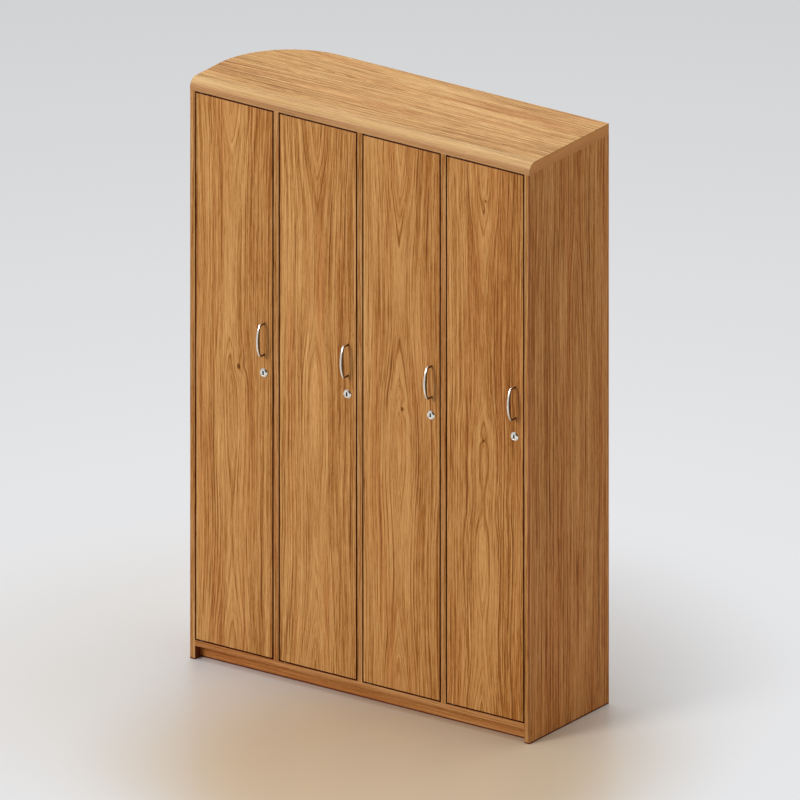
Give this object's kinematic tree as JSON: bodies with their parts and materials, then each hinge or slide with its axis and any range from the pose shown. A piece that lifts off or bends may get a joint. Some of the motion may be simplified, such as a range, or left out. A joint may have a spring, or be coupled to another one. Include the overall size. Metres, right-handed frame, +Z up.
{
  "type": "wooden wardrobe locker",
  "caption": "Tall free-standing wooden locker: inset doors side by side with bow handles and cam locks, hat shelves and coat hooks inside, a rounded rear corner and a recessed plinth.",
  "frame": {"origin": "centre of the bounding box's bottom, on the floor; the box includes the handles", "axes": "+Z up, -Y towards the person who opens the doors, +X to that person's right"},
  "size_m": [1.2, 0.438, 1.8],
  "materials": {
    "door_veneer": "satin teak-coloured veneer, grain upright",
    "carcass_veneer": "satin teak-coloured veneer, grain upright",
    "top_veneer": "satin teak-coloured veneer, grain along the width",
    "plinth_veneer": "satin teak-coloured veneer, grain along the width",
    "back_board": "thin veneered board",
    "dowel_wood": "plain beech",
    "satin_nickel": "satin nickel plate",
    "lock_chrome": "polished chrome plate",
    "zinc_steel": "bright zinc plate",
    "bronzed_steel": "dark bronzed steel",
    "bush_plastic": "brown nylon",
    "catch_plastic": "brown plastic"
  },
  "bodies": {
    "carcass": {"side_panel_left": "carcass_veneer", "corner_panel": "carcass_veneer", "side_panel_right": "carcass_veneer", "top_panel": "top_veneer", "bottom_panel": "plinth_veneer", "back_panel": "back_board", "plinth_front": "plinth_veneer", "plinth_rear": "plinth_veneer", "partition_1": "carcass_veneer", "partition_2": "carcass_veneer", "partition_3": "carcass_veneer", "shelf_1": "carcass_veneer", "shelf_2": "carcass_veneer", "shelf_3": "carcass_veneer", "shelf_4": "carcass_veneer", "carcass_dowels": "dowel_wood", "shelf_pins": "zinc_steel", "pivot_bushes": "bush_plastic", "strike_plates": "zinc_steel", "magnetic_catches": "catch_plastic", "coat_hooks": "satin_nickel", "carcass_screws": "zinc_steel", "back_screws": "zinc_steel"},
    "door_unit_1": {"door_1": "door_veneer", "door_1_pivots": "bronzed_steel", "door_1_handle": "satin_nickel", "door_1_catch_plate": "zinc_steel", "door_1_lock_housing": "lock_chrome", "door_1_fasteners": "zinc_steel"},
    "lock_unit_1": {"lock_1_plug": "lock_chrome", "lock_1_cam": "zinc_steel", "lock_1_cam_screw": "zinc_steel"},
    "door_unit_2": {"door_2": "door_veneer", "door_2_pivots": "bronzed_steel", "door_2_handle": "satin_nickel", "door_2_catch_plate": "zinc_steel", "door_2_lock_housing": "lock_chrome", "door_2_fasteners": "zinc_steel"},
    "lock_unit_2": {"lock_2_plug": "lock_chrome", "lock_2_cam": "zinc_steel", "lock_2_cam_screw": "zinc_steel"},
    "door_unit_3": {"door_3": "door_veneer", "door_3_pivots": "bronzed_steel", "door_3_handle": "satin_nickel", "door_3_catch_plate": "zinc_steel", "door_3_lock_housing": "lock_chrome", "door_3_fasteners": "zinc_steel"},
    "lock_unit_3": {"lock_3_plug": "lock_chrome", "lock_3_cam": "zinc_steel", "lock_3_cam_screw": "zinc_steel"},
    "door_unit_4": {"door_4": "door_veneer", "door_4_pivots": "bronzed_steel", "door_4_handle": "satin_nickel", "door_4_catch_plate": "zinc_steel", "door_4_lock_housing": "lock_chrome", "door_4_fasteners": "zinc_steel"},
    "lock_unit_4": {"lock_4_plug": "lock_chrome", "lock_4_cam": "zinc_steel", "lock_4_cam_screw": "zinc_steel"}
  },
  "joints": [
    {"name": "door_1_swing", "type": "hinge", "parent": "carcass", "child": "door_unit_1", "pos_m": [-0.56, -0.172, 0.9], "axis": [0, 0, -1], "range_deg": [0, 110]},
    {"name": "lock_1_turn", "type": "hinge", "parent": "door_unit_1", "child": "lock_unit_1", "pos_m": [-0.3385, -0.181, 0.944], "axis": [0, -1, 0], "range_deg": [0, 90]},
    {"name": "door_2_swing", "type": "hinge", "parent": "carcass", "child": "door_unit_2", "pos_m": [-0.2645, -0.172, 0.9], "axis": [0, 0, -1], "range_deg": [0, 110]},
    {"name": "lock_2_turn", "type": "hinge", "parent": "door_unit_2", "child": "lock_unit_2", "pos_m": [-0.043, -0.181, 0.944], "axis": [0, -1, 0], "range_deg": [0, 90]},
    {"name": "door_3_swing", "type": "hinge", "parent": "carcass", "child": "door_unit_3", "pos_m": [0.031, -0.172, 0.9], "axis": [0, 0, -1], "range_deg": [0, 110]},
    {"name": "lock_3_turn", "type": "hinge", "parent": "door_unit_3", "child": "lock_unit_3", "pos_m": [0.2525, -0.181, 0.944], "axis": [0, -1, 0], "range_deg": [0, 90]},
    {"name": "door_4_swing", "type": "hinge", "parent": "carcass", "child": "door_unit_4", "pos_m": [0.3265, -0.172, 0.9], "axis": [0, 0, -1], "range_deg": [0, 110]},
    {"name": "lock_4_turn", "type": "hinge", "parent": "door_unit_4", "child": "lock_unit_4", "pos_m": [0.548, -0.181, 0.944], "axis": [0, -1, 0], "range_deg": [0, 90]}
  ]
}
